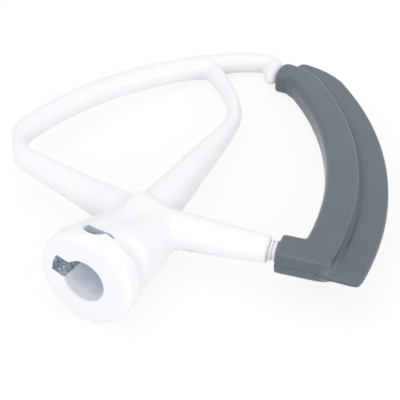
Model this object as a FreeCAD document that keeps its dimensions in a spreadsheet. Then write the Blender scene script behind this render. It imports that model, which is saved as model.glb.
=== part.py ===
import FreeCAD, Part
import math
import os
from types import SimpleNamespace
from FreeCAD import Placement, Rotation, Vector
from Sketcher import Constraint

# A flex edge beater for a stand mixer: a coated casting with a silicone wiping edge on its right side.
# Origin: centre of the shaft socket's mouth. The hub's axis runs away from the mouth along +Y, X goes
# across the beater and Z is its thickness. Both pieces are drawn level, then leaned about X by one
# angle, so that the collar and the far end rest on one plane, as on a table.

# Driving sizes, in millimetres and degrees
driving = {
    "half_width": 67.8,         # hub axis to the blade's outer edge, at the level of the arms
    "reach": 149.2,             # mouth to the far edge of the blade
    "collar_radius": 15.1,
    "collar_depth": 6.4,        # mouth to the collar's rear face
    "collar_round": 2.2,        # rounded front edge of the collar
    "bore_radius": 6.5,         # takes a 12.7 mm shaft
    "bore_depth": 32.0,
    "bore_cone": 2.4,           # drill point beyond the full bore
    "lip_depth": 3.2,           # wall between the mouth and the pin pocket
    "keyway_width": 6.2,        # entry for the shaft's cross pin
    "keyway_radius": 10.6,
    "keyway_angle": 163.0,      # direction of that entry, from +X towards +Z
    "lock_angle": 62.0,         # where the pin's turn ends
    "pocket_depth": 9.6,        # mouth to the rear wall of the pin pocket
    "notch_radius": 4.0,        # rounded notch in the collar's rear face, where the pin locks
    "notch_level": 7.4,
    "window_left": 4.6,
    "window_right": 5.2,
    "hub_half_width": 14.7,
    "hub_half_height": 12.2,
    "hub_shoulder": 13.4,       # where the hub starts to thin
    "hub_waist": 9.0,           # half height where the hub meets the arms
    "hub_end": 27.5,
    "hub_taper": 5.5,           # the hub narrows over this length on both sides of its end
    "hub_end_half_width": 10.6,
    "hub_end_half_height": 6.3,
    "boss_radius": 9.5,         # round boss that holds the bore
    "boss_end": 38.0,
    "boss_round": 5.0,
    "left_root": 32.3,          # where the left arm's centre line crosses the hub axis
    "left_slope": 10.8,
    "right_root": 32.1,
    "right_slope": 12.5,
    "arm_start": 3.0,           # both arms start inside the hub, this far from its axis
    "left_radius": 6.4,         # half thickness of the left arm at its start
    "right_radius": 6.4,
    "right_end_radius": 4.1,
    "leg_radius": 4.2,          # half thickness of the bent leg
    "leg_out": 60.4,            # hub axis to the leg's centre line at its widest
    "leg_corner": 12.5,         # bend between left arm and leg
    "corner_flat": 13.3,        # centre of that bend to the flat on its outer side
    "corner_flat_angle": 216.9,  # direction of the flat from there, from +X towards +Y
    "corner_flat_half": 16.0,   # the cut that makes the flat reaches this far along, both ways
    "leg_tip_out": 28.0,        # where the long bend ends, from the hub axis
    "leg_tip_drop": 19.6,       # and below the blade's far edge
    "tip_swell_out": 13.0,      # the leg swells towards the lug from here, left of the cap
    "tip_swell_rise": 3.6,      # its centre line there, above the cap's centre line
    "tip_swell_heading": 57.0,
    "tip_bow_out": 6.0,         # and turns across to face the cap here
    "tip_bow_rise": 3.6,
    "tip_bow_heading": 80.0,
    "tip_bow_radius": 3.95,
    "tip_end_radius": 3.6,
    "rib_root_radius": 6.3,     # middle rib, from the boss to the leg
    "rib_radius": 5.2,
    "rib_waist_radius": 3.9,
    "rib_end_radius": 2.8,
    "rib_join_radius": 2.8,
    "rib_flare": 44.0,
    "rib_flare_out": 1.9,
    "rib_middle": 60.0,         # levels at which the rib has these sizes
    "rib_waist": 80.0,
    "rib_bend": 96.0,
    "rib_bend_out": 3.5,        # the rib bends to the left there
    "rib_bend_heading": 12.0,
    "rib_turn": 107.0,
    "rib_turn_out": 8.5,
    "rib_turn_heading": 38.0,
    "rib_join_heading": 57.0,
    "rib_join_share": 0.93,     # where it meets the leg, as a share of the leg's bend
    "flank_level": 35.2,        # level of the blade's widest place
    "flank_tip_out": 17.2,      # where the blade's long bend ends, from the hub axis
    "flank_tip_drop": 4.9,      # and below the blade's far edge
    "blade_width": 9.8,
    "blade_half": 1.4,
    "blade_tip_share": 0.8,     # the blade narrows to this share at the end cap
    "foot_half_width": 4.5,     # spine along the foot
    "flank_half_width": 5.3,    # and along the blade
    "spine_half_height": 4.1,
    "spine_round": 0.42,        # its rounded edges, as a share of its half height
    "tip_bow": 0.9,             # rise of the spine's centre line over its last bend
    "foot_end": 41.0,           # hub axis to the foot's end face
    "neck_gap": 2.8,            # bare neck between right arm and foot
    "neck_half": 2.6,
    "ring_half": 3.2,           # raised ring round the middle of that neck
    "ring_width": 0.9,
    "core_half_width": 2.2,     # bare bar that the silicone is moulded over
    "core_half_height": 1.9,
    "core_round": 0.3,
    "cap_end": 3.0,             # the end cap stops this far left of the hub axis
    "cap_drop": 13.3,           # far edge of the blade to the cap's centre line
    "tip_gap": 2.0,             # bare neck between cap and lug
    "lug_half_width": 4.8,
    "lug_half_height": 4.2,
    "lug_round": 0.5,
    "lug_depth": 4.4,
}

SINK = 1.0                      # how far a bar starts inside the one that carries it
FULLY_ROUND = 0.9               # share of a bar's half size that its rounded edges take
THIN_ROUND = 0.8                # the same for the blade, which keeps a narrow flat edge

os.makedirs("parts", exist_ok=True)
document = FreeCAD.newDocument("flex_edge_beater")
sheet = document.addObject("Spreadsheet::Sheet", "Sizes")
for row, (alias, value) in enumerate(driving.items(), start=1):
    sheet.set(f"A{row}", alias)
    sheet.set(f"B{row}", str(value))
    sheet.setAlias(f"B{row}", alias)
document.recompute()


class Measure:
    """A size as a number, for a first drawing, and as the sheet formula that then drives it."""

    def __init__(self, value, text):
        self.value = value
        self.text = text

    def __add__(self, other):
        other = measure(other)
        return Measure(self.value + other.value, f"({self.text} + {other.text})")

    def __sub__(self, other):
        other = measure(other)
        return Measure(self.value - other.value, f"({self.text} - {other.text})")

    def __mul__(self, other):
        other = measure(other)
        return Measure(self.value * other.value, f"({self.text} * {other.text})")

    def __truediv__(self, other):
        other = measure(other)
        return Measure(self.value / other.value, f"({self.text} / {other.text})")

    def __neg__(self):
        return Measure(-self.value, f"(0 - {self.text})")


def measure(item):
    return item if isinstance(item, Measure) else Measure(float(item), repr(float(item)))


def sine(angle):
    angle = measure(angle)
    return Measure(math.sin(math.radians(angle.value)), f"sin({angle.text} * 1 deg)")


def cosine(angle):
    angle = measure(angle)
    return Measure(math.cos(math.radians(angle.value)), f"cos({angle.text} * 1 deg)")


def tangent(angle):
    return sine(angle) / cosine(angle)


def square_root(area):
    return Measure(math.sqrt(area.value), f"sqrt({area.text})")


def arcsine(share):
    return Measure(math.degrees(math.asin(share.value)), f"(asin({share.text}) / 1 deg)")


def arctangent(share):
    return Measure(math.degrees(math.atan(share.value)), f"(atan({share.text}) / 1 deg)")


s = SimpleNamespace(**{alias: Measure(value, f"Sizes.{alias}") for alias, value in driving.items()})


def origin_plane(body, role):
    return next(item for item in body.Origin.OriginFeatures if item.Role == role)


def new_body(label):
    """A body that leans, from the collar's lower edge down to the lug's far edge."""
    body = document.addObject("PartDesign::Body", label)
    body.Label = label
    far_edge = s.reach - s.cap_drop + s.lug_half_width - s.lug_half_height * s.lug_round
    lean = arctangent((s.collar_radius - s.lug_half_height) / (far_edge - s.collar_depth))
    body.Placement = Placement(Vector(0, 0, 0), Rotation(Vector(1, 0, 0), -lean.value))
    body.setExpression(".Placement.Rotation.Angle", f"0 - {lean.text}")
    return body


def new_sketch(body, name, role, place, turn):
    """A sketch on an origin plane, shifted to place and turned about the plane's second axis."""
    sketch = body.newObject("Sketcher::SketchObject", name)
    sketch.AttachmentSupport = [(origin_plane(body, role), "")]
    sketch.MapMode = "FlatFace"
    place = [measure(item) for item in place]
    turn = measure(turn)
    shift = Vector(*[item.value for item in place])
    sketch.AttachmentOffset = Placement(shift, Rotation(Vector(0, 1, 0), turn.value))
    for axis, item in zip("xyz", place):
        sketch.setExpression(f".AttachmentOffset.Base.{axis}", item.text)
    if isinstance(turn, Measure) and turn.value:
        sketch.setExpression(".AttachmentOffset.Rotation.Angle", turn.text)
    return sketch


def hold(sketch, constraint, size):
    """Add a constraint and drive it from the sheet."""
    index = sketch.addConstraint(constraint)
    name = f"size{index}"
    sketch.renameConstraint(index, name)
    sketch.setExpression(f"Constraints.{name}", size.text)


def outline(sketch, corners):
    """Draw a closed outline, anticlockwise. A corner is (x, y), or (x, y, radius) where an outward
    arc of that radius runs from it to the next corner."""
    corners = [tuple(measure(item) for item in corner) for corner in corners]
    count = len(corners)
    for index, corner in enumerate(corners):
        start = Vector(corner[0].value, corner[1].value, 0)
        following = corners[(index + 1) % count]
        end = Vector(following[0].value, following[1].value, 0)
        if len(corner) == 2:
            sketch.addGeometry(Part.LineSegment(start, end))
            continue
        chord = end - start
        reach = math.sqrt(max(corner[2].value ** 2 - (chord.Length / 2) ** 2, 0))
        inward = Vector(-chord.y, chord.x, 0).normalize()
        centre = (start + end) * 0.5 + inward * reach
        circle = Part.Circle(centre, Vector(0, 0, 1), corner[2].value)
        first = math.atan2(start.y - centre.y, start.x - centre.x)
        last = math.atan2(end.y - centre.y, end.x - centre.x)
        sketch.addGeometry(Part.ArcOfCircle(circle, first, last))
        hold(sketch, Constraint("Radius", index, corner[2].value), corner[2])
    for index, corner in enumerate(corners):
        sketch.addConstraint(Constraint("Coincident", (index - 1) % count, 2, index, 1))
        for kind, axis, size in (("DistanceX", -2, corner[0]), ("DistanceY", -1, corner[1])):
            if size.value == 0:
                sketch.addConstraint(Constraint("PointOnObject", index, 1, axis))
            else:
                hold(sketch, Constraint(kind, -1, 1, index, 1, size.value), size)


def circle(sketch, radius, centre=0):
    """A circle on the sketch's first axis, this far from its origin."""
    radius, centre = measure(radius), measure(centre)
    sketch.addGeometry(Part.Circle(Vector(centre.value, 0, 0), Vector(0, 0, 1), radius.value))
    if centre.value:
        sketch.addConstraint(Constraint("PointOnObject", 0, 3, -1))
        hold(sketch, Constraint("DistanceX", -1, 1, 0, 3, centre.value), centre)
    else:
        sketch.addConstraint(Constraint("Coincident", 0, 3, -1, 1))
    hold(sketch, Constraint("Radius", 0, radius.value), radius)


def bar_section(body, name, place, turn, across, high, round_share=FULLY_ROUND, centre=0):
    """A rounded rectangle across a path. The path passes place, and turn is its heading from +Y
    towards -X. The corner radius is a share of the smaller half size."""
    x, y = place
    sketch = new_sketch(body, name, "XZ_Plane", (x, 0, -measure(y)), turn)
    across, high, centre = measure(across), measure(high), measure(centre)
    corner = (high if high.value < across.value else across) * round_share
    right, left = centre + across, centre - across
    outline(sketch, [
        (right - corner, -high, corner), (right, corner - high),
        (right, high - corner, corner), (right - corner, high),
        (left + corner, high, corner), (left, high - corner),
        (left, corner - high, corner), (left + corner, -high),
    ])
    return sketch


def round_section(body, name, place, turn, radius, centre=0):
    """A circle across a path, placed and turned as bar_section is."""
    x, y = place
    sketch = new_sketch(body, name, "XZ_Plane", (x, 0, -measure(y)), turn)
    circle(sketch, radius, centre)
    return sketch


def loft(body, kind, name, stations, section=bar_section):
    """A smooth bar through stations, each (x, y, heading) and the sizes of its section."""
    sections = [
        section(body, f"{name}_section{index}", station[:2], *station[2:])
        for index, station in enumerate(stations)
    ]
    feature = body.newObject(f"PartDesign::{kind}Loft", name)
    feature.Profile = sections[0]
    feature.Sections = sections[1:]
    return feature


def bar(body, kind, name, station, length):
    """A straight bar from a station along its heading."""
    section = bar_section(body, f"{name}_section", station[:2], *station[2:])
    feature = body.newObject("PartDesign::Pad" if kind == "Additive" else "PartDesign::Pocket", name)
    feature.Profile = section
    feature.Reversed = kind == "Additive"
    feature.setExpression("Length", measure(length).text)
    return feature


# Paths that both pieces share

def line_level(root, slope, out):
    """Level of an arm's centre line at a distance from the hub axis."""
    return root + out * tangent(slope)


# The long bends are circles through their widest place, where they run straight away from the mouth,
# and through the place where the tip begins.
flank_run = s.half_width - s.flank_tip_out
flank_rise = s.reach - s.flank_tip_drop - s.flank_level
flank_bend = (flank_run * flank_run + flank_rise * flank_rise) / (flank_run * 2)
flank_centre = s.half_width - flank_bend
flank_sweep = arcsine(flank_rise / flank_bend)
spine_bend = flank_bend - s.blade_width - s.flank_half_width

corner_x = s.leg_corner - s.leg_out
corner_y = line_level(s.left_root, s.left_slope, -corner_x) + s.leg_corner / cosine(s.left_slope)
leg_run = s.leg_out - s.leg_tip_out
leg_rise = s.reach - s.leg_tip_drop - corner_y
leg_bend = (leg_run * leg_run + leg_rise * leg_rise) / (leg_run * 2)
leg_sweep = arcsine(leg_rise / leg_bend)

# The foot's line carries on the right arm's, and meets the flank's bend at the heel.
line_offset = (line_level(s.right_root, s.right_slope, flank_centre) - s.flank_level) * cosine(s.right_slope)
heel_run = square_root(spine_bend * spine_bend - line_offset * line_offset)
heel_x = flank_centre - line_offset * sine(s.right_slope) + heel_run * cosine(s.right_slope)
heel_y = line_level(s.right_root, s.right_slope, heel_x)
heel_angle = arcsine((heel_y - s.flank_level) / spine_bend)
foot_heading = s.right_slope - 90
cap_level = s.reach - s.cap_drop


def on_flank(bend, angle):
    return flank_centre + bend * cosine(angle), s.flank_level + bend * sine(angle)


def edge_bar(body, kind, name, foot_across, across, high, round_share, start_x):
    """The bar that follows the wiping edge: along the foot, round the heel, up the flank's bend and
    over the tip to the end cap. The spine and the bar inside it are both made this way."""
    start = (start_x, line_level(s.right_root, s.right_slope, start_x))
    straight = (heel_x - start_x) / cosine(s.right_slope)
    bar(body, kind, f"{name}_foot", (*start, foot_heading, foot_across, high, round_share), straight)

    heel = new_sketch(body, f"{name}_heel_section", "XY_Plane", (heel_x, heel_y, 0), 0)
    circle(heel, across)
    knuckle = body.newObject("PartDesign::Pad" if kind == "Additive" else "PartDesign::Pocket", f"{name}_heel")
    knuckle.Profile = heel
    knuckle.Midplane = True
    knuckle.setExpression("Length", (high * 2).text)

    section = bar_section(body, f"{name}_flank_section", (flank_centre, s.flank_level), heel_angle,
                          across, high, round_share, spine_bend)
    flank = body.newObject("PartDesign::Revolution" if kind == "Additive" else "PartDesign::Groove",
                           f"{name}_flank")
    flank.Profile = section
    flank.ReferenceAxis = (section, ["V_Axis"])
    flank.setExpression("Angle", (flank_sweep - heel_angle).text)

    begin = on_flank(spine_bend, flank_sweep)
    middle = ((begin[0] - s.cap_end) / 2, (begin[1] + cap_level) / 2 + s.tip_bow)
    loft(body, kind, f"{name}_tip", [
        (*begin, flank_sweep, across, high, round_share),
        (*middle, (flank_sweep + 90) / 2, across, high, round_share),
        (-s.cap_end, cap_level, 90, across, high, round_share),
    ])


def pocket(name, role, place, corners, depth, reversed_way=False):
    """Cut an outline into the casting, from its sketch's plane."""
    sketch = new_sketch(casting, f"{name}_outline", role, place, 0)
    outline(sketch, corners)
    feature = casting.newObject("PartDesign::Pocket", name)
    feature.Profile = sketch
    feature.Reversed = reversed_way
    feature.setExpression("Length", measure(depth).text)


# Casting: hub with collar and boss, turned about the hub axis

casting = new_body("frame_casting")

turned = new_sketch(casting, "hub_profile", "XY_Plane", (0, 0, 0), 0)
outline(turned, [
    (0, 0), (s.collar_radius - s.collar_round, 0, s.collar_round),
    (s.collar_radius, s.collar_round), (s.collar_radius, s.collar_depth),
    (s.boss_radius, s.collar_depth), (s.boss_radius, s.boss_end - s.boss_round, s.boss_round),
    (s.boss_radius - s.boss_round, s.boss_end), (0, s.boss_end),
])
hub = casting.newObject("PartDesign::Revolution", "hub")
hub.Profile = turned
hub.ReferenceAxis = (turned, ["V_Axis"])
hub.Angle = 360

# The hub's flanks stand as wide as the collar and thin down towards the middle rib.
loft(casting, "Additive", "hub_flanks", [
    (0, s.collar_depth - SINK, 0, s.hub_half_width, s.hub_half_height),
    (0, s.hub_shoulder, 0, s.hub_half_width, s.hub_half_height),
    (0, s.hub_end - s.hub_taper, 0, s.hub_half_width, s.hub_waist),
    (0, s.hub_end + s.hub_taper, 0, s.hub_end_half_width, s.hub_end_half_height),
])

# Right arm, up to the bare neck
right_stop = s.foot_end - s.neck_gap
loft(casting, "Additive", "right_arm", [
    (out, line_level(s.right_root, s.right_slope, out), foot_heading, radius)
    for out, radius in ((s.arm_start, s.right_radius), (right_stop, s.right_end_radius))
], round_section)

# Left arm, the corner, and the leg's long bend
left_heading = -s.left_slope + 90
arm_stop = -corner_x + s.leg_corner * sine(s.left_slope)
loft(casting, "Additive", "left_arm", [
    (-out, line_level(s.left_root, s.left_slope, out), left_heading, radius)
    for out, radius in ((s.arm_start, s.left_radius), (arm_stop, s.leg_radius))
], round_section)


def bend(name, centre, turn, radius, arc, angle, reversed_way):
    """A round bar along an arc, from the arc's near end."""
    section = round_section(casting, f"{name}_section", centre, turn, radius, arc)
    feature = casting.newObject("PartDesign::Revolution", name)
    feature.Profile = section
    feature.ReferenceAxis = (section, ["V_Axis"])
    feature.Reversed = reversed_way
    feature.setExpression("Angle", angle.text)


bend("corner", (corner_x, corner_y), 0, s.leg_radius, -s.leg_corner, left_heading, False)
bend("leg", (leg_bend - s.leg_out, corner_y), 0, s.leg_radius, -leg_bend, leg_sweep, True)

# The lug at the far end: the leg swells and turns across to face the end cap
lug_face = -s.cap_end - s.tip_gap
loft(casting, "Additive", "leg_tip", [
    (leg_bend * (-cosine(leg_sweep) + 1) - s.leg_out, corner_y + leg_bend * sine(leg_sweep),
     -leg_sweep, s.leg_radius),
    (lug_face - s.tip_swell_out, cap_level + s.tip_swell_rise, -s.tip_swell_heading, s.leg_radius),
    (lug_face - s.tip_bow_out, cap_level + s.tip_bow_rise, -s.tip_bow_heading, s.tip_bow_radius),
    (lug_face - SINK, cap_level, -90, s.tip_end_radius),
], round_section)
bar(casting, "Additive", "lug",
    (lug_face, cap_level, 90, s.lug_half_width, s.lug_half_height, s.lug_round), s.lug_depth)

# Middle rib, from the boss to the leg
rib_sweep = leg_sweep * s.rib_join_share
rib_top_x = leg_bend * (-cosine(rib_sweep) + 1) - s.leg_out
rib_top_y = corner_y + leg_bend * sine(rib_sweep)
loft(casting, "Additive", "middle_rib", [
    (0, s.hub_end, 0, s.rib_root_radius),
    (-s.rib_flare_out, s.rib_flare, 0, s.rib_root_radius),
    (-s.rib_bend_out / 3, s.rib_middle, 0, s.rib_radius),
    (-s.rib_bend_out / 2, s.rib_waist, 0, s.rib_waist_radius),
    (-s.rib_bend_out, s.rib_bend, s.rib_bend_heading, s.rib_end_radius),
    (-s.rib_turn_out, s.rib_turn, s.rib_turn_heading, s.rib_end_radius),
    (rib_top_x, rib_top_y, s.rib_join_heading, s.rib_join_radius),
], round_section)

# Bare core: necks at both ends and the bar inside the silicone
neck_level = line_level(s.right_root, s.right_slope, right_stop - SINK)
bar(casting, "Additive", "neck",
    (right_stop - SINK, neck_level, foot_heading, s.neck_half, s.neck_half),
    (s.neck_gap + SINK) / cosine(s.right_slope))
ring_x = s.foot_end - s.neck_gap / 2
bar(casting, "Additive", "neck_ring",
    (ring_x, line_level(s.right_root, s.right_slope, ring_x), foot_heading, s.ring_half, s.ring_half),
    s.ring_width)
bar(casting, "Additive", "tip_neck",
    (-s.cap_end, cap_level, 90, s.core_half_width, s.core_half_height, s.core_round), s.tip_gap + SINK)
edge_bar(casting, "Additive", "core", s.core_half_width, s.core_half_width, s.core_half_height,
         s.core_round, right_stop)

# Flat on the outside of the left corner
flat_way = (cosine(s.corner_flat_angle), sine(s.corner_flat_angle))
pocket("corner_flat_cut", "XY_Plane", (0, 0, -s.corner_flat_half), [
    (corner_x + flat_way[0] * out - flat_way[1] * side, corner_y + flat_way[1] * out + flat_way[0] * side)
    for out, side in (
        (s.corner_flat, -s.corner_flat_half), (s.corner_flat * 2, -s.corner_flat_half),
        (s.corner_flat * 2, s.corner_flat_half), (s.corner_flat, s.corner_flat_half),
    )
], s.corner_flat_half * 2, True)

# Shaft socket, cut from the mouth

socket = new_sketch(casting, "bore_profile", "XY_Plane", (0, 0, 0), 0)
outline(socket, [
    (0, -SINK), (s.bore_radius, -SINK), (s.bore_radius, s.bore_depth), (0, s.bore_depth + s.bore_cone),
])
bore = casting.newObject("PartDesign::Groove", "bore")
bore.Profile = socket
bore.ReferenceAxis = (socket, ["V_Axis"])
bore.Angle = 360

# The pin goes in along the keyway and turns behind the lip to the notch.
along = (cosine(s.keyway_angle), sine(s.keyway_angle))
half_key = s.keyway_width / 2
pocket("keyway", "XZ_Plane", (0, 0, 0), [
    (along[0] * inner - along[1] * side, along[1] * inner + along[0] * side)
    for inner, side in (
        (measure(0), half_key), (measure(0), -half_key),
        (s.keyway_radius, -half_key), (s.keyway_radius, half_key),
    )
], s.pocket_depth)
pocket_start = s.keyway_angle + arcsine(half_key / s.keyway_radius)
pocket("pin_pocket", "XZ_Plane", (0, 0, -s.lip_depth), [
    (0, 0),
    (s.keyway_radius * cosine(s.lock_angle), s.keyway_radius * sine(s.lock_angle), s.keyway_radius),
    (s.keyway_radius * cosine(pocket_start), s.keyway_radius * sine(pocket_start)),
], s.pocket_depth - s.lip_depth)

# A window over the pocket shows the pin, and the collar's rear edge dips to hold it.
window_floor = s.bore_radius * THIN_ROUND
pocket("window", "XY_Plane", (0, 0, window_floor), [
    (-s.window_left, s.collar_depth), (s.window_right, s.collar_depth),
    (s.window_right, s.pocket_depth), (-s.window_left, s.pocket_depth),
], s.collar_radius, True)
notch_sketch = new_sketch(casting, "notch_outline", "XY_Plane", (0, s.notch_level, window_floor), 0)
circle(notch_sketch, s.notch_radius)
notch = casting.newObject("PartDesign::Pocket", "notch")
notch.Profile = notch_sketch
notch.Reversed = True
notch.setExpression("Length", s.collar_radius.text)

# Silicone edge: spine over the core, thin blade outside it

edge = new_body("flex_edge")
edge_bar(edge, "Additive", "spine", s.foot_half_width, s.flank_half_width, s.spine_half_height,
         s.spine_round, s.foot_end)

blade_half_width = (s.blade_width + SINK * 2) / 2
blade_bend = flank_bend - blade_half_width
blade_start = arcsine((heel_y - s.foot_half_width - s.flank_level) / flank_bend)
blade_section = bar_section(edge, "blade_section", (flank_centre, s.flank_level), blade_start,
                            blade_half_width, s.blade_half, THIN_ROUND, blade_bend)
blade = edge.newObject("PartDesign::Revolution", "blade")
blade.Profile = blade_section
blade.ReferenceAxis = (blade_section, ["V_Axis"])
blade.setExpression("Angle", (flank_sweep - blade_start).text)
tip_half_width = blade_half_width * s.blade_tip_share
loft(edge, "Additive", "blade_tip", [
    (*on_flank(blade_bend, flank_sweep), flank_sweep, blade_half_width, s.blade_half, THIN_ROUND),
    (s.flank_tip_out / 3, s.reach - blade_half_width, (flank_sweep + 90) / 2,
     blade_half_width, s.blade_half, THIN_ROUND),
    (-s.cap_end, s.reach - tip_half_width, 90, tip_half_width, s.blade_half, THIN_ROUND),
])
edge_bar(edge, "Subtractive", "core_hollow", s.core_half_width, s.core_half_width, s.core_half_height,
         s.core_round, s.foot_end)

# Check every feature, then write the pieces

document.recompute()
faults = [
    item.Name for item in document.Objects
    if any(word in item.State for word in ("Invalid", "Error"))
]
if faults:
    raise SystemExit(f"features that failed: {faults}")
for body in (casting, edge):
    if body.Shape.isNull() or not body.Shape.isValid():
        raise SystemExit(f"{body.Label} has no valid shape")
    print(body.Label, "solids", len(body.Shape.Solids), "volume", round(body.Shape.Volume, 1),
          "box", body.Shape.BoundBox)
for body in (casting, edge):
    body.Shape.exportStep(f"parts/{body.Label}.step")
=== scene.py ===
import math
import bmesh
import bpy
import numpy as np
from mathutils import Matrix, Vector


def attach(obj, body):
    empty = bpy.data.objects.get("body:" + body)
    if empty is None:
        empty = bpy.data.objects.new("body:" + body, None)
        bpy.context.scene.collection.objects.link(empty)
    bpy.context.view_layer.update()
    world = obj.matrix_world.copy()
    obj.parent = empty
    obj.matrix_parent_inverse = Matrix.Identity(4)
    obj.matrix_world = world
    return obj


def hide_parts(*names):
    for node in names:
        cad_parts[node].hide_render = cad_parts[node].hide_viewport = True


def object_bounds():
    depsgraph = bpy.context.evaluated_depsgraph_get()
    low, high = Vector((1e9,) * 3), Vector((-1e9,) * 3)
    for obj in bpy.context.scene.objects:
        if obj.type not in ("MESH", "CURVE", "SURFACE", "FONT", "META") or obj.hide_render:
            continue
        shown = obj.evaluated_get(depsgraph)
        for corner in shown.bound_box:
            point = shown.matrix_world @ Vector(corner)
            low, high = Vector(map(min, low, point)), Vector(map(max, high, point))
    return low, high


# A flex edge beater for a stand mixer, lying as it rests on a table: a coated casting with a socket
# for the mixer's shaft, and a soft silicone wiping edge moulded over the casting's right side.
# The shapes are worked out level and in millimetres, the hub's axis along Y, and laid down at the end.

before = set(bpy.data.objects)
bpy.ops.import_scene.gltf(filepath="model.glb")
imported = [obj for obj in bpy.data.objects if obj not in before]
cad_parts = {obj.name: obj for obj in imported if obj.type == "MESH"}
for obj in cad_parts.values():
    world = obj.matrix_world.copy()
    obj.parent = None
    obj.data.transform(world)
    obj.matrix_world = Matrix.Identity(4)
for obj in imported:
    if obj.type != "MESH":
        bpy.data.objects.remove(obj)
cad_low, cad_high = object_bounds()


# Camera: a small product shot from the right, the front and above

scene = bpy.context.scene
camera_data = bpy.data.cameras.new("camera")
camera_data.sensor_width = 36
camera_data.lens = 99
camera_data.clip_start = 0.01
camera = bpy.data.objects.new("camera", camera_data)
camera.location = (0.13764, -0.17765, 0.21627)
camera.rotation_euler = [math.radians(angle) for angle in (49.9974, 0.2, 29.1714)]
scene.collection.objects.link(camera)
scene.camera = camera
scene.view_settings.view_transform = "Standard"


# Studio: a white sweep, a large soft lamp overhead, one low in front and one at the right.
# The sweep and the world show white to the camera and in reflections, and light the beater at a
# plain level.

def colour(code):
    """A hex sRGB colour as linear values."""
    levels = [int(code[place:place + 2], 16) / 255 for place in (1, 3, 5)]
    linear = [
        level / 12.92 if level <= 0.04045 else ((level + 0.055) / 1.055) ** 2.4 for level in levels]
    return (*linear, 1.0)


def add_node(tree, kind, settings=None, **links):
    """Add a node, give it its settings, and set or link its inputs. Spaces in an input's name are
    written as underlines."""
    node = tree.nodes.new(kind)
    for key, value in (settings or {}).items():
        setattr(node, key, value)
    for key, value in links.items():
        socket = node.inputs[int(key[1:]) if key[1:].isdigit() else key.replace("_", " ")]
        if isinstance(value, bpy.types.NodeSocket):
            tree.links.new(value, socket)
        else:
            socket.default_value = value
    return node


def seen_share(tree, share):
    """A share of 1 or less for rays from the camera, from gloss and through glass, and 0 for light."""
    path = add_node(tree, "ShaderNodeLightPath").outputs
    seen = path["Is Camera Ray"]
    for other in ("Is Glossy Ray", "Is Transmission Ray"):
        either = add_node(tree, "ShaderNodeMath", {"operation": "MAXIMUM"}, _0=seen, _1=path[other])
        seen = either.outputs[0]
    return add_node(tree, "ShaderNodeMath", {"operation": "MULTIPLY"}, _0=seen, _1=share).outputs[0]


sweep_material = bpy.data.materials.new("white_paper_sweep")
sweep_material.use_nodes = True
tree = sweep_material.node_tree
tree.nodes.clear()
paper = add_node(tree, "ShaderNodeBsdfDiffuse", Color=colour("#f4f4f5"))
glow = add_node(tree, "ShaderNodeEmission", Color=(1, 1, 1, 1), Strength=1.0)
blend = add_node(tree, "ShaderNodeMixShader",
                 _0=seen_share(tree, 0.86), _1=paper.outputs[0], _2=glow.outputs[0])
add_node(tree, "ShaderNodeOutputMaterial", Surface=blend.outputs[0])

sweep_size = 3.0
floor_level = cad_low.z
sweep_mesh = bpy.data.meshes.new("sweep")
sweep_mesh.from_pydata(
    [(x * sweep_size, y * sweep_size, floor_level) for x, y in ((-1, -1), (1, -1), (1, 1), (-1, 1))],
    [], [(0, 1, 2, 3)])
sweep_mesh.materials.append(sweep_material)
sweep = bpy.data.objects.new("sweep", sweep_mesh)
scene.collection.objects.link(sweep)

world = bpy.data.worlds.new("studio")
world.use_nodes = True
scene.world = world
tree = world.node_tree
tree.nodes.clear()
room = add_node(tree, "ShaderNodeBackground", Color=colour("#f3f4f8"), Strength=0.92)
white = add_node(tree, "ShaderNodeBackground", Color=(1, 1, 1, 1), Strength=1.0)
blend = add_node(tree, "ShaderNodeMixShader",
                 _0=seen_share(tree, 1.0), _1=room.outputs[0], _2=white.outputs[0])
add_node(tree, "ShaderNodeOutputWorld", Surface=blend.outputs[0])

for name, place, aim, size, power in (
    ("key_lamp", (-0.2, 0.0, 0.8), (-5, -14, 0), 0.6, 1.3),
    ("front_lamp", (0.2, -0.62, 0.36), (61, 0, 18), 0.35, 1.3),
    ("side_lamp", (0.75, 0.15, 0.35), (0, 67, 5), 0.5, 1.2),
):
    lamp_data = bpy.data.lights.new(name, "AREA")
    lamp_data.size = size
    lamp_data.energy = power
    lamp = bpy.data.objects.new(name, lamp_data)
    lamp.location = place
    lamp.rotation_euler = [math.radians(angle) for angle in aim]
    scene.collection.objects.link(lamp)


# Casting: hub, two arms, bent leg, middle rib and the bar inside the wiping edge, die cast in one
# piece of aluminium, tumbled smooth and powder coated. It is built up here as clay is: each limb is
# worked into its neighbours with a fillet. Paths are stations (x, y, z, radius).

LEAN = math.radians(4.7134)             # the hub stands on its collar, the tip lies on the table
LAY_DOWN = Matrix.Diagonal((0.001, 0.001, 0.001, 1)) @ Matrix.Rotation(-LEAN, 4, "X")
MACHINE_TO_LEVEL = np.array(Matrix.Rotation(-LEAN, 3, "X"))
CORNERS = [np.array((a, b, c)) for a in (0, 1) for b in (0, 1) for c in (0, 1)]
EDGES = [(a, b) for a in CORNERS for b in CORNERS if (b - a).min() >= 0 and (b - a).sum() == 1]


def length(*parts):
    return np.sqrt(sum(part * part for part in parts))


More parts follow.
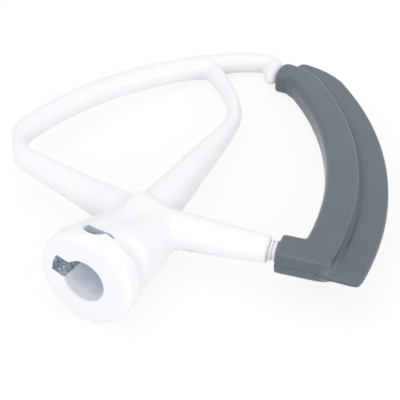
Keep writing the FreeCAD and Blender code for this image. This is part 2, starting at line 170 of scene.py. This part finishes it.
class Clay:
    """A block of space on a fine grid, which holds the distance to a shape's surface, negative
    inside it."""

    def __init__(self, low, high, step):
        self.low = np.array(low, np.float32)
        self.step = step
        counts = np.ceil((np.array(high) - self.low) / step).astype(int) + 1
        self.axes = [self.low[n] + step * np.arange(counts[n], dtype=np.float32) for n in range(3)]
        self.shape = tuple(counts)

    def grid(self, window=None):
        window = window or (slice(None),) * 3
        axes = [axis[part] for axis, part in zip(self.axes, window)]
        return np.meshgrid(*axes, indexing="ij", sparse=True)

    def limb(self, path, reach=9.0):
        """Distance to a round bar through stations (x, y, z, radius), right within reach of it."""
        field = np.full(self.shape, 50.0, np.float32)
        path = np.array(path, np.float32)
        for start, end in zip(path[:-1], path[1:]):
            thick = max(start[3], end[3]) + reach
            window = tuple(
                slice(*np.searchsorted(
                    axis, (min(start[n], end[n]) - thick, max(start[n], end[n]) + thick)))
                for n, axis in enumerate(self.axes))
            run = end[:3] - start[:3]
            offset = [axis - start[n] for n, axis in enumerate(self.grid(window))]
            share = np.clip(sum(offset[n] * run[n] for n in range(3)) / max(float(run @ run), 1e-9), 0, 1)
            away = length(*[offset[n] - share * run[n] for n in range(3)])
            away -= start[3] + (end[3] - start[3]) * share
            field[window] = np.minimum(field[window], away)
        return field

    def read(self, field, points):
        """The distance at any points, between the grid's own."""
        place = (points - self.low) / self.step
        cell = np.clip(np.floor(place).astype(int), 0, np.array(self.shape) - 2)
        share = place - cell
        total = 0
        for corner in CORNERS:
            weight = np.prod(np.where(corner, share, 1 - share), axis=1)
            total = total + weight * field[tuple((cell + corner).T)]
        return total

    def settle(self, field, points):
        """Move points down the slope onto the surface."""
        half = self.step * 0.5
        slope = np.stack([
            self.read(field, points + half * one) - self.read(field, points - half * one)
            for one in np.eye(3)
        ], axis=1) / self.step
        steep = np.maximum((slope ** 2).sum(axis=1), 0.1)
        return points - slope * (self.read(field, points) / steep)[:, None]

    def skin(self, field, rounds=3):
        """Points and four-sided faces of the surface, one point in each cell that it crosses."""
        inside = field < 0
        count = sum(
            inside[tuple(slice(c, n - 1 + c) for c, n in zip(corner, self.shape))].astype(np.int8)
            for corner in CORNERS)
        crossed = np.argwhere((count > 0) & (count < 8))
        number = np.full(count.shape, -1, np.int32)
        number[tuple(crossed.T)] = np.arange(len(crossed))
        value = {tuple(corner): field[tuple((crossed + corner).T)] for corner in CORNERS}
        total, hits = np.zeros((len(crossed), 3)), np.zeros(len(crossed))
        for a, b in EDGES:
            first, second = value[tuple(a)], value[tuple(b)]
            hit = (first < 0) != (second < 0)
            share = np.where(hit, first / np.where(hit, first - second, 1), 0)
            total += hit[:, None] * (a + share[:, None] * (b - a))
            hits += hit
        points = self.low + self.step * (crossed + total / hits[:, None])
        faces = []
        for axis, one in enumerate(np.eye(3, dtype=int)):
            ahead, behind = [slice(None)] * 3, [slice(None)] * 3
            ahead[axis], behind[axis] = slice(1, None), slice(None, -1)
            change = inside[tuple(ahead)].astype(np.int8) - inside[tuple(behind)]
            u, v = np.eye(3, dtype=int)[(axis + 1) % 3], np.eye(3, dtype=int)[(axis + 2) % 3]
            for sign in (1, -1):
                place = np.argwhere(change == sign)
                ring = [number[tuple((place - shift).T)] for shift in (0 * one, u, u + v, v)]
                faces.append(np.stack(ring if sign < 0 else ring[::-1], axis=1))
        faces = np.concatenate(faces)
        for _ in range(rounds):
            points = self.settle(field, even_out(points, faces))
        return points, faces


def joined(first, second, fillet):
    """Two shapes as one, with a fillet of about this size between them."""
    share = np.clip(0.5 + 0.5 * (second - first) / fillet, 0, 1)
    return second + (first - second) * share - fillet * share * (1 - share)


def cut(first, second, rounding):
    """What two shapes share, with the edge between them rounded."""
    return -joined(-first, -second, rounding)


def rounded(first, second, radius):
    """The inside of two faces that meet square, with an edge of this radius."""
    a, b = first + radius, second + radius
    return length(np.maximum(a, 0), np.maximum(b, 0)) + np.minimum(np.maximum(a, b), 0) - radius


def even_out(points, faces):
    """Move each point halfway to the middle of its neighbours."""
    total, count = np.zeros_like(points), np.zeros(len(points))
    for n in range(4):
        here, there = faces[:, n], faces[:, (n + 1) % 4]
        for a, b in ((here, there), (there, here)):
            for axis in range(3):
                total[:, axis] += np.bincount(a, points[b, axis], len(points))
            count += np.bincount(a, minlength=len(points))
    return 0.5 * points + 0.5 * total / np.maximum(count, 1)[:, None]


def smooth_path(stations, steps=8):
    """A finer path through stations (x, y, z, radius), without corners."""
    stations = np.array(stations, float)
    ends = np.vstack([2 * stations[0] - stations[1], stations, 2 * stations[-1] - stations[-2]])
    fine = []
    for a, b, c, d in zip(ends[:-3], ends[1:-2], ends[2:-1], ends[3:]):
        for t in np.arange(steps) / steps:
            fine.append(0.5 * (2 * b + (c - a) * t + (2 * a - 5 * b + 4 * c - d) * t ** 2
                               + (3 * b - 3 * c + d - a) * t ** 3))
    return np.array([*fine, stations[-1]])


def arc(centre, rim, angles, radii, count):
    """Stations along an arc from one angle to another, in degrees from +X towards +Y. The rim is
    the bar's outer edge."""
    stations = zip(np.radians(np.linspace(*angles, count)), np.linspace(*radii, count))
    return [
        (centre[0] + (rim - radius) * math.cos(angle), centre[1] + (rim - radius) * math.sin(angle),
         0, radius)
        for angle, radius in stations]


def new_piece(name, points, faces, materials=()):
    """A mesh object from points in millimetres, laid down in its place."""
    mesh = bpy.data.meshes.new(name)
    mesh.from_pydata(np.asarray(points).tolist(), [], [list(map(int, face)) for face in faces])
    mesh.transform(LAY_DOWN)
    for material in materials:
        mesh.materials.append(material)
    mesh.shade_smooth()
    piece = bpy.data.objects.new(name, mesh)
    scene.collection.objects.link(piece)
    return piece


collar_radius, collar_depth, collar_round = 15.1, 6.4, 2.2
block_end, block_end_round = 35.3, 2.6
boss_radius, boss_end, boss_round = 9.0, 37.2, 4
hub_start, hidden_round = 3, 0.5        # inside the collar, where no edge shows
arm_fillet, collar_fillet, boss_fillet, core_fillet = 3.0, 1.6, 0.8, 0.6
corner, corner_rim, corner_flat = (-47.9, 54.1), 16.7, 13.9
leg_centre, leg_rim = (43.8, 54.1), 108.5
arm_end = (38.4, 40.6)
flank_centre = (-75.1, 35.2)            # the wiping edge bends round this point
core_rim = 129.7

left_limb = [
    (-4, 32.6, 0, 7.0), (-14, 34.6, 0, 5.9), (-26, 36.8, 0, 4.95),
    *arc(corner, corner_rim, (259.2, 180), (3.75, 4.0), 20),
    *arc(leg_centre, leg_rim, (179, 168), (4.0, 4.2), 10),
    *arc(leg_centre, leg_rim, (167, 136.5), (4.25, 4.2), 26),
]
leg_tip = smooth_path([
    left_limb[-2], left_limb[-1], (-25.9, 132.9, 0, 3.85), (-19.9, 137.9, 0, 3.65), (-14.5, 140.9, 0, 3.6),
    (-12.2, 141.2, 0, 3.65), (-9.5, 140.8, 0, 3.7), (-7.9, 138.5, 0, 3.5), (-6.8, 135.4, 0, 3.1),
    (-6.2, 132.7, 0, 2.4),
])
middle_rib = smooth_path([
    (0, 28, 0, 6.4), (-0.1, 38, 0, 6.5), (-0.3, 46, 0, 6.2), (-0.6, 53, 0, 5.8), (-1.1, 60, 0, 5.4),
    (-2.0, 76, 0, 4.4), (-2.5, 85, 0, 3.75), (-3.1, 93, 0, 3.0), (-4.3, 99, 0, 2.75),
    (-7.5, 105.6, 0, 2.65), (-12.5, 112.3, 0, 2.7), (-18.4, 118.2, 0, 3.0), (-23.7, 122.8, 0, 3.3),
    (-29, 126.7, 0, 3.4),
])
core = [
    (34, 39.6, 0, 2.6), (42, 41.4, 0, 2.5), (48, 42.7, 0, 1.9),
    *arc(flank_centre, core_rim, (4.5, 49.8), (1.9, 1.9), 40),
    (2.2, 135.2, 0, 2.0), (-3, 135.9, 0, 2.4), (-9, 136.6, 0, 2.4),
]

clay = Clay((-72, -2, -16), (58, 148, 16), 0.5)
x, y, z = clay.grid()
from_axis = length(x, z)
collar = cut(rounded(from_axis - collar_radius, -y, collar_round), y - collar_depth, hidden_round)

# The hub behind the collar is a flattened block that thins down towards the rib, lower on its left.
right_width = np.interp(y, (0, 8, 14, 22, 27, 31, 36), (14.2, 14.0, 13.6, 13.3, 12.8, 11.5, 9.4))
left_width = np.interp(y, (0, 7, 10, 14, 22, 31, 36), (14.8, 14.6, 14.2, 13.6, 12.6, 9.5, 7.5))
half_width = np.where(x > 0, right_width, left_width)
half_height = np.interp(y, (0, 11, 15, 19, 23, 28, 34), (12.2, 12.2, 11.5, 10.3, 9.1, 8.1, 7.0))
low_side = np.interp(y, (0, 8, 11, 14, 18, 24, 34), (12.6, 12.4, 11.4, 9.8, 7.6, 6.0, 4.8))
across = np.clip((x + 9.5) / 6.5, 0, 1) * np.ones_like(z)
across = np.where(z > 0, across * across * (3 - 2 * across), 1)
half_height = low_side + (half_height - low_side) * across
block = rounded(np.abs(x) - half_width, np.abs(z) - half_height, half_height * 0.9)
block = cut(cut(block, y - block_end, block_end_round), hub_start - y, hidden_round)
boss = cut(rounded(from_axis - boss_radius, y - boss_end, boss_round), hub_start - y, hidden_round)
arm_heading = math.radians(12.5)
right_arm = cut(
    clay.limb([(3, 32.8, 0, 6.4), (42, 41.4, 0, 4.0)]),
    (x - arm_end[0]) * math.cos(arm_heading) + (y - arm_end[1]) * math.sin(arm_heading), 0.8)

casting_field = joined(block, clay.limb(left_limb), arm_fillet)
casting_field = joined(casting_field, right_arm, arm_fillet)
corner_way, corner_flat_round = math.radians(216.9), 2.6
past_corner = (x - corner[0]) * math.cos(corner_way) + (y - corner[1]) * math.sin(corner_way)
casting_field = cut(casting_field, past_corner - corner_flat, corner_flat_round)
casting_field = joined(casting_field, boss, boss_fillet)
rib_fillet = np.interp(y, (60, 100), (1.1, 3.2))        # tight at the hub, wide at the leg
casting_field = joined(casting_field, clay.limb(middle_rib), rib_fillet)
casting_field = joined(casting_field, clay.limb(leg_tip), boss_fillet)

# A valley runs along the hub's left side with a slim ridge beside it, a hollow lies behind the
# collar on the right, and a small pocket is left under the right arm's root.
valley = clay.limb(smooth_path([
    (-7.0, 13.0, 13.9, 3.0), (-7.2, 17, 11.6, 3.1), (-7.9, 22.5, 9.8, 3.2), (-8.7, 28, 9.3, 3.2),
    (-9.3, 33.5, 9.0, 3.1), (-8.8, 38.5, 9.0, 3.0)]), 4.0)
casting_field = cut(casting_field, -valley, 1.6)
ridge = clay.limb(smooth_path([
    (0.3, 15.5, 8.1, 2.6), (-0.5, 21, 8.0, 2.7), (-1.6, 28, 7.4, 2.7), (-2.5, 33.4, 7.0, 2.6)]), 4.0)
casting_field = joined(casting_field, ridge, 0.5)
hollow = clay.limb(smooth_path([
    (8.4, 10.2, 12.6, 1.2), (11.6, 10.7, 10.1, 2.2), (14.2, 10.7, 6.6, 2.5), (15.3, 10.1, 2.4, 2.0),
    (15.7, 9.4, 0.2, 1.0)]), 4.0)
casting_field = cut(casting_field, -hollow, 1.6)
pocket = clay.limb([(13.4, 30.3, -3.0, 0.9), (15.1, 31.1, -3.0, 0.9), (17.0, 32.0, -3.0, 0.5)], 3.0)
casting_field = cut(casting_field, -pocket, 0.2)
casting_field = joined(casting_field, collar, collar_fillet)
casting_field = joined(casting_field, clay.limb(core), core_fillet)

points, faces = clay.skin(casting_field)
casting = new_piece("frame_casting_coated", points, faces)

# Socket: a reamed bore, an entry and a pocket for the shaft's cross pin, and a window cast over
# the pocket that lets the pin be seen.
bore_radius, lip_depth, bore_depth, bore_tip = 6.5, 3.2, 32.0, 34.4
keyway_half, keyway_radius, keyway_angle, lock_angle = 3.1, 10.6, 163.0, 62.0
pocket_depth = 9.6
notch_radius, notch_level = 4.0, 7.4


def prism(name, outline, along, start, end):
    """A straight block of this outline along Y or Z."""
    count = len(outline)
    if along == "Y":
        points = [(u, t, v) for t in (start, end) for u, v in outline]
    else:
        points = [(u, v, t) for t in (start, end) for u, v in outline]
    sides = [(n, (n + 1) % count, count + (n + 1) % count, count + n) for n in range(count)]
    return new_piece(name, points, [range(count), range(2 * count - 1, count - 1, -1), *sides])


def turned(name, profile, count=72):
    """A round block about the Y axis through (y, radius), closed at both ends."""
    points = [
        (radius * math.cos(angle), y, radius * math.sin(angle))
        for y, radius in profile for angle in np.arange(count) * math.tau / count]
    faces = [
        (row * count + n, row * count + (n + 1) % count,
         (row + 1) * count + (n + 1) % count, (row + 1) * count + n)
        for row in range(len(profile) - 1) for n in range(count)]
    ends = [range(count - 1, -1, -1), range((len(profile) - 1) * count, len(profile) * count)]
    return new_piece(name, points, [*faces, *ends])


def cut_away(piece, block):
    """Cut a block out of a piece, with crisp edges."""
    recalculated = bmesh.new()
    recalculated.from_mesh(block.data)
    bmesh.ops.recalc_face_normals(recalculated, faces=recalculated.faces)
    recalculated.to_mesh(block.data)
    recalculated.free()
    modifier = piece.modifiers.new("cut", "BOOLEAN")
    modifier.operation = "DIFFERENCE"
    modifier.solver = "MANIFOLD"
    modifier.object = block
    depsgraph = bpy.context.evaluated_depsgraph_get()
    result = bpy.data.meshes.new_from_object(piece.evaluated_get(depsgraph))
    piece.modifiers.clear()
    piece.data = result
    bpy.data.objects.remove(block)


def around(radius, first, last, count):
    """Points on a circle from one angle to another, in degrees."""
    return [
        (radius * math.cos(angle), radius * math.sin(angle))
        for angle in np.radians(np.linspace(first, last, count))]


key_side = math.degrees(math.asin(keyway_half / keyway_radius))
pocket_outline = [(0, 0), *around(keyway_radius, lock_angle, keyway_angle + key_side, 24)]
key_way = math.radians(keyway_angle)
key_across = (-math.sin(key_way) * keyway_half, math.cos(key_way) * keyway_half)
key_outline = [
    (-key_across[0], -key_across[1]),
    *around(keyway_radius, keyway_angle - key_side, keyway_angle + key_side, 9),
    key_across,
]
window_outline = [
    (-4.6, 6.2), (5.2, 6.2), (5.4, 7.4), (5.0, 8.5), (3.8, 9.1), (2.0, 9.2), (-1.0, 9.2), (-2.6, 9.4),
    (-3.6, 9.6), (-4.4, 9.6), (-4.7, 9.0)]
notch_outline = [
    (notch_radius * math.cos(angle), notch_level + notch_radius * math.sin(angle))
    for angle in np.radians(np.linspace(180, 360, 25))]
for block in (
    turned("bore", [
        (-1, 6.95), (0.2, 6.85), (0.25, 6.65), (lip_depth, 6.65), (lip_depth + 0.3, bore_radius),
        (bore_depth, bore_radius), (bore_tip, 0.2)]),
    prism("keyway", key_outline, "Y", -1, pocket_depth),
    prism("pocket", pocket_outline, "Y", lip_depth, pocket_depth),
    prism("window", window_outline, "Z", 4.0, 20.0),
    prism("notch", notch_outline, "Z", 4.0, 20.0),
):
    cut_away(casting, block)

# Finish of the casting outside: a satin powder coat, near white, which levels out with a faint
# orange peel of about 1.6 mm. Its eye: even and soft, with broad gentle highlights.

def new_material(name, **shader):
    """A material with its shader's fixed values on the shader's own sockets."""
    material = bpy.data.materials.new(name)
    material.use_nodes = True
    tree = material.node_tree
    tree.nodes.clear()
    surface = add_node(tree, "ShaderNodeBsdfPrincipled", None, **shader)
    add_node(tree, "ShaderNodeOutputMaterial", Surface=surface.outputs[0])
    place = add_node(tree, "ShaderNodeTexCoord").outputs["Object"]
    return material, tree, surface, place


def per_mm(size):
    """How many repeats of a pattern of this size, in millimetres, there are in a metre."""
    return 1000 / size


coating, tree, surface, place = new_material("satin_powder_coat", Roughness=0.36, IOR=1.5)
peel = add_node(tree, "ShaderNodeTexNoise", Vector=place, Scale=per_mm(1.6), Detail=1.0, Roughness=0.4)
shade = add_node(tree, "ShaderNodeTexNoise", Vector=place, Scale=per_mm(14), Detail=2.0)
tint = add_node(tree, "ShaderNodeMix", {"data_type": "RGBA"}, _0=shade.outputs["Fac"],
                _6=colour("#eeeded"), _7=colour("#e8e8e9"))
bump = add_node(tree, "ShaderNodeBump", Strength=0.35, Distance=0.00003, Height=peel.outputs["Fac"])
tree.links.new(tint.outputs[2], surface.inputs["Base Color"])
tree.links.new(bump.outputs[0], surface.inputs["Normal"])

# Finish of the bore: bare machined aluminium, with fine turning rings about 0.4 mm apart, dulled by
# a film of oxide that scatters most of the light. Its eye: pale grey-blue, soft, hardly mirroring.
machined, tree, surface, place = new_material("bare_machined_aluminium", Metallic=0.15, Roughness=0.42)
along_bore = add_node(tree, "ShaderNodeMapping", Vector=place, Rotation=(LEAN, 0, 0))
rings = add_node(tree, "ShaderNodeTexWave", {"bands_direction": "Y"}, Vector=along_bore.outputs[0],
                 Scale=per_mm(0.4) / 20 * math.pi, Distortion=1.5, Detail=2.0)
grain = add_node(tree, "ShaderNodeTexNoise", Vector=place, Scale=per_mm(0.8), Detail=3.0)
tint = add_node(tree, "ShaderNodeMix", {"data_type": "RGBA"}, _0=grain.outputs["Fac"],
                _6=colour("#cfd8e2"), _7=colour("#ecf1f6"))
rough = add_node(tree, "ShaderNodeMapRange", Value=grain.outputs["Fac"], To_Min=0.28, To_Max=0.45)
bump = add_node(tree, "ShaderNodeBump", Strength=0.4, Distance=0.00004, Height=rings.outputs["Fac"])
tree.links.new(tint.outputs[2], surface.inputs["Base Color"])
tree.links.new(rough.outputs[0], surface.inputs["Roughness"])
tree.links.new(bump.outputs[0], surface.inputs["Normal"])

# Finish of the pin's pocket and keyway: the casting's own skin, as the mould left it. Its eye:
# grey and mottled, rough to the touch, darker than the bore: partly the bare metal's own grey, partly
# painted shade for the shadowed recess.
as_cast_and_painted_shade, tree, surface, place = new_material("as_cast_aluminium_and_painted_shade", Metallic=0.2, Roughness=0.6)
patches = add_node(tree, "ShaderNodeTexNoise", Vector=place, Scale=per_mm(0.9), Detail=3.0)
grain = add_node(tree, "ShaderNodeMapRange", Value=patches.outputs["Fac"], From_Min=0.38, From_Max=0.62)
# painted shade: these greys are darker than the bore's to stand in for the shade inside the pocket and
# keyway, on top of the bare skin's own mottled tone
tint = add_node(tree, "ShaderNodeMix", {"data_type": "RGBA"}, _0=grain.outputs[0],
                _6=colour("#8b97a5"), _7=colour("#e3e9ef"))
bump = add_node(tree, "ShaderNodeBump", Strength=0.8, Distance=0.0001, Height=grain.outputs[0])
tree.links.new(tint.outputs[2], surface.inputs["Base Color"])
tree.links.new(bump.outputs[0], surface.inputs["Normal"])

mesh = casting.data
mesh.materials.clear()                  # the cuts leave an empty slot
for material in (coating, machined, as_cast_and_painted_shade):
    mesh.materials.append(material)
centres = np.empty(len(mesh.polygons) * 3)
mesh.polygons.foreach_get("center", centres)
centres = centres.reshape(-1, 3) * 1000 @ MACHINE_TO_LEVEL
cx, cy, cz = centres.T
out = np.hypot(cx, cz)
slots = np.zeros(len(centres), int)     # 0 coated, 1 machined, 2 as cast
# the pocket and keyway walls take the as-cast finish, whose darker grey is partly painted shade
slots[(out > 6.68) & (out < keyway_radius + 0.1) & (cy > 0.05) & (cy < pocket_depth + 0.15)] = 2
slots[(out < 6.9) & (cy > 0.05) & (cy < 0.26)] = 1
slots[(out < 6.64) & (cy > lip_depth) & (cy < 35)] = 1
normals = np.empty(len(mesh.polygons) * 3)
mesh.polygons.foreach_get("normal", normals)
upward = (normals.reshape(-1, 3) @ MACHINE_TO_LEVEL)[:, 2]
slots[(np.abs(upward) < 0.02) & (np.abs(cx) < 5.5) & (cy > 3.3) & (cy < 9.7) & (cz > 4)] = 1
mesh.polygons.foreach_set("material_index", slots)
mesh.polygons.foreach_set("use_smooth", np.ones(len(slots), bool))
mesh.set_sharp_from_angle(angle=math.radians(32))       # the socket's edges stay crisp
mesh.update()
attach(casting, "root")
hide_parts("frame_casting")


# Wiping edge: grey silicone rubber, moulded over the casting's bar in a two-part mould. A rounded
# spine grips the bar, and a thin blade outside it wipes the bowl. The cap round its far end swells
# to a lip, and a fine flash line shows where the mould's halves met.

spine_bend = 127.8
foot_half, flank_half, spine_half_height, spine_round = 4.7, 5.3, 4.1, 1.4
foot_low, foot_round = 4.5, 1.3         # the foot is deeper below its middle, with a crisper edge
foot_root, foot_slope = 32.1, 0.2217
foot_end, foot_length, cap_end = 41.0, 16.3, -4.4
blade_outer, blade_half, blade_round, blade_level = 142.7, 0.95, 0.6, -0.4
blade_corner = (57.8, 37.75)            # the blade's front edge passes here

clay = Clay((-8, 30, -6.2), (70, 151.5, 6.2), 0.4)
x, y, z = clay.grid()


def beside(path):
    """Distance from each place on the drawing to a path, negative on its inner side."""
    nearest = np.full((x.shape[0], y.shape[1], 1), 1e9, np.float32)
    signed = nearest.copy()
    for a, b in zip(path[:-1], path[1:]):
        run = np.subtract(b, a)
        share = np.clip(((x - a[0]) * run[0] + (y - a[1]) * run[1]) / (run @ run), 0, 1)
        away = length(x - a[0] - share * run[0], y - a[1] - share * run[1])
        side = (x - a[0]) * run[1] - (y - a[1]) * run[0]
        closer = away < nearest
        nearest = np.where(closer, away, nearest)
        signed = np.where(closer, np.where(side < 0, -away, away), signed)
    return signed


def plan(stations):
    return [station[:2] for station in stations]


# The foot's front face bulges out to the mould's parting line, and draws in below it.
heading = math.atan(foot_slope)
foot_x, foot_y = x - foot_end, y - foot_root - foot_slope * foot_end
foot_along = foot_x * math.cos(heading) + foot_y * math.sin(heading)
foot_across = foot_y * math.cos(heading) - foot_x * math.sin(heading)
foot_front = -foot_across - foot_half - np.interp(z, (-4.1, -1.0, 4.1), (0.5, 1.2, 1.2))
foot_strip = np.maximum(foot_across - foot_half, foot_front)
foot_strip = cut(cut(foot_strip, -foot_along, 0.8), foot_along - foot_length, 1.3)
flank_line = [*plan(arc(flank_centre, spine_bend, (5.0, 49.8), (0, 0), 60)), (2.2, 135.2), (-12, 136.2)]
from_flank = beside(flank_line)

# The cap's lip swells at its end on the inner side, with a shallow waist behind it.
into_cap = x - cap_end
lip = np.exp(-((into_cap - 1.4) / 1.6) ** 2) * (y > 100)
waist = np.exp(-((into_cap - 5.2) / 2.0) ** 2) * (y > 100)
lip_rise = np.where(from_flank < 0, 1.1, 0.0) * lip
flank_strip = np.abs(from_flank) - flank_half - lip_rise + 0.35 * waist
flank_strip = cut(flank_strip, cap_end - x, 5.0)
spine = joined(flank_strip, foot_strip, 2.0)

# Its shoulder is crisp on the foot, and softens towards the heel, where it runs out into the blade.
to_heel = length(x - 58.5, y - 40.8)
on_flank = np.clip((y - 42) / 5, 0, 1)
softer = spine_round - foot_round + 0.9 * np.clip(-from_flank / flank_half, 0, 1)
shoulder = foot_round + softer * on_flank
shoulder = shoulder + 0.8 * np.exp(-(to_heel / 3.0) ** 2)
spine_low = spine_half_height + (foot_low - spine_half_height) * (1 - on_flank)
spine_top = np.maximum(z - spine_half_height, -z - spine_low) - 0.3 * lip
edge_field = rounded(spine, spine_top, shoulder)

far_line = plan([
    *arc(flank_centre, blade_outer, (-3, 48), (0, 0), 60),
    *smooth_path([
        (17.6, 143.9, 0, 1), (12.5, 146.6, 0, 1), (6.6, 148.4, 0, 1), (-1.3, 149.1, 0, 1),
        (-14, 149.2, 0, 1)]),
])
blade_slope = math.radians(8.8)
below_blade = ((x - blade_corner[0]) * math.sin(blade_slope)
               - (y - blade_corner[1]) * math.cos(blade_slope))
blade_plan = cut(beside(far_line), below_blade, 1.7)
blade_plan = cut(blade_plan, -1.4 - x, 3.0)
blade_plan = np.maximum(blade_plan, np.minimum(55.4 - x, 41 - y))
blade_plan = np.maximum(blade_plan, -length(x - flank_centre[0], y - flank_centre[1]) + 126)
blade = rounded(blade_plan, np.abs(z - blade_level) - blade_half, blade_round)
edge_field = joined(edge_field, blade, 0.9 + 2.6 * np.exp(-(to_heel / 3.5) ** 2))

# A groove follows the spine's outer side and ends at the heel.
groove = clay.limb([
    (px, py, blade_level + blade_half + 1.55 - 0.75 * radius, radius)
    for px, py, _, radius in (
        *arc(flank_centre, 134.4, (4.4, 9), (0.6, 0.9), 8),
        *arc(flank_centre, 134.5, (10, 49), (0.9, 0.85), 50))], 3.0)
edge_field = cut(edge_field, -groove, 1.0)
edge_field = np.maximum(edge_field, -clay.limb(core))

points, faces = clay.skin(edge_field)

# Finish of the silicone: satin, fine grained by the mould's spark-eroded wall, a little dusty. The
# grain is 0.5 mm, coarser than the real one so that it shows.
silicone, tree, surface, place = new_material("grey_silicone_rubber", Roughness=0.28, IOR=1.43)
grain = add_node(tree, "ShaderNodeTexNoise", Vector=place, Scale=per_mm(0.5), Detail=2.0)
shade = add_node(tree, "ShaderNodeTexNoise", Vector=place, Scale=per_mm(9), Detail=2.0)
tint = add_node(tree, "ShaderNodeMix", {"data_type": "RGBA"}, _0=shade.outputs["Fac"],
                _6=colour("#5f6870"), _7=colour("#575f66"))
bump = add_node(tree, "ShaderNodeBump", Strength=0.5, Distance=0.00003, Height=grain.outputs["Fac"])
tree.links.new(tint.outputs[2], surface.inputs["Base Color"])
tree.links.new(bump.outputs[0], surface.inputs["Normal"])

wiping_edge = new_piece("silicone_wiping_edge", points, faces, [silicone])
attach(wiping_edge, "root")
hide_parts("flex_edge")


# Flash line: a hair of rubber where the two halves of the mould met, left along the foot's front
# and round the blade's rim.

def grown(name, tree, start, **inputs):
    """The mesh that a node tree makes from a starting mesh."""
    piece = bpy.data.objects.new(name, start)
    scene.collection.objects.link(piece)
    modifier = piece.modifiers.new("grow", "NODES")
    modifier.node_group = tree
    for item in tree.interface.items_tree:
        if item.in_out == "INPUT" and item.name.lower() in inputs:
            modifier[item.identifier] = inputs[item.name.lower()]
    mesh = bpy.data.meshes.new_from_object(piece.evaluated_get(bpy.context.evaluated_depsgraph_get()))
    piece.modifiers.clear()
    mesh.name = name
    piece.data = mesh
    return piece


def node_tree(name, **inputs):
    """A new tree with these inputs, each of the kind given, and the outputs of its input node."""
    tree = bpy.data.node_groups.new(name, "GeometryNodeTree")
    tree.interface.new_socket("Geometry", in_out="OUTPUT", socket_type="NodeSocketGeometry")
    tree.interface.new_socket("Geometry", in_out="INPUT", socket_type="NodeSocketGeometry")
    for key, kind in inputs.items():
        tree.interface.new_socket(key, in_out="INPUT", socket_type=f"NodeSocket{kind}")
    return tree, tree.nodes.new("NodeGroupInput").outputs


tree, given = node_tree("flash_line", Bead="Float", Finish="Material")
line = add_node(tree, "GeometryNodeMeshToCurve", Mesh=given["Geometry"])
bead = add_node(tree, "GeometryNodeCurvePrimitiveCircle", Resolution=6, Radius=given["Bead"])
swept = add_node(tree, "GeometryNodeCurveToMesh",
                 Curve=line.outputs[0], Profile_Curve=bead.outputs[0], Fill_Caps=True)
real = add_node(tree, "GeometryNodeRealizeInstances", Geometry=swept.outputs[0])
finished = add_node(tree, "GeometryNodeSetMaterial", Geometry=real.outputs[0], Material=given["Finish"])
add_node(tree, "NodeGroupOutput", Geometry=finished.outputs[0])

flash_level = -0.9
route = plan([
    *[(px, foot_root + foot_slope * px - 6.2, 0, 0) for px in np.arange(41.6, 55.0, 0.5)],
    *[(px, blade_corner[1] + (px - blade_corner[0]) * math.tan(blade_slope), 0, 0)
      for px in np.arange(56.0, 66.0, 0.5)],
    *arc(flank_centre, blade_outer, (2.5, 48), (0, 0), 160),
])
route = clay.settle(edge_field, np.array([(px, py, flash_level) for px, py in route]))
route[:, 2] = flash_level
line_mesh = bpy.data.meshes.new("flash_route")
line_mesh.from_pydata(route.tolist(), [(n, n + 1) for n in range(len(route) - 1)], [])
flash = grown("silicone_flash_line", tree, line_mesh, bead=0.15, finish=silicone)
flash.data.transform(LAY_DOWN)
flash.data.shade_smooth()
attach(flash, "root")


# Neck rings: two beads cast on the neck between the arm and the rubber, coated with it.

tree, given = node_tree(
    "neck_rings", Count="Int", Pitch="Float", Radius="Float", Bead="Float", Finish="Material")
offset = add_node(tree, "ShaderNodeCombineXYZ", X=given["Pitch"])
line = add_node(tree, "GeometryNodeMeshLine", Count=given["Count"], Offset=offset.outputs[0])
ring = add_node(tree, "GeometryNodeCurvePrimitiveCircle", Resolution=48, Radius=given["Radius"])
bead = add_node(tree, "GeometryNodeCurvePrimitiveCircle", Resolution=10, Radius=given["Bead"])
swept = add_node(tree, "GeometryNodeCurveToMesh", Curve=ring.outputs[0], Profile_Curve=bead.outputs[0])
placed = add_node(tree, "GeometryNodeInstanceOnPoints", Points=line.outputs[0], Instance=swept.outputs[0],
                  Rotation=(0, math.pi / 2, 0))
real = add_node(tree, "GeometryNodeRealizeInstances", Geometry=placed.outputs[0])
finished = add_node(tree, "GeometryNodeSetMaterial", Geometry=real.outputs[0], Material=given["Finish"])
add_node(tree, "NodeGroupOutput", Geometry=finished.outputs[0])

rings = grown("neck_rings", tree, bpy.data.meshes.new("ring_start"),
              count=2, pitch=1.3, radius=2.9, bead=0.4, finish=coating)
rings.data.transform(
    LAY_DOWN @ Matrix.Translation((39.1, 40.8, 0)) @ Matrix.Rotation(math.atan(foot_slope), 4, "Z"))
rings.data.shade_smooth()
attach(rings, "root")
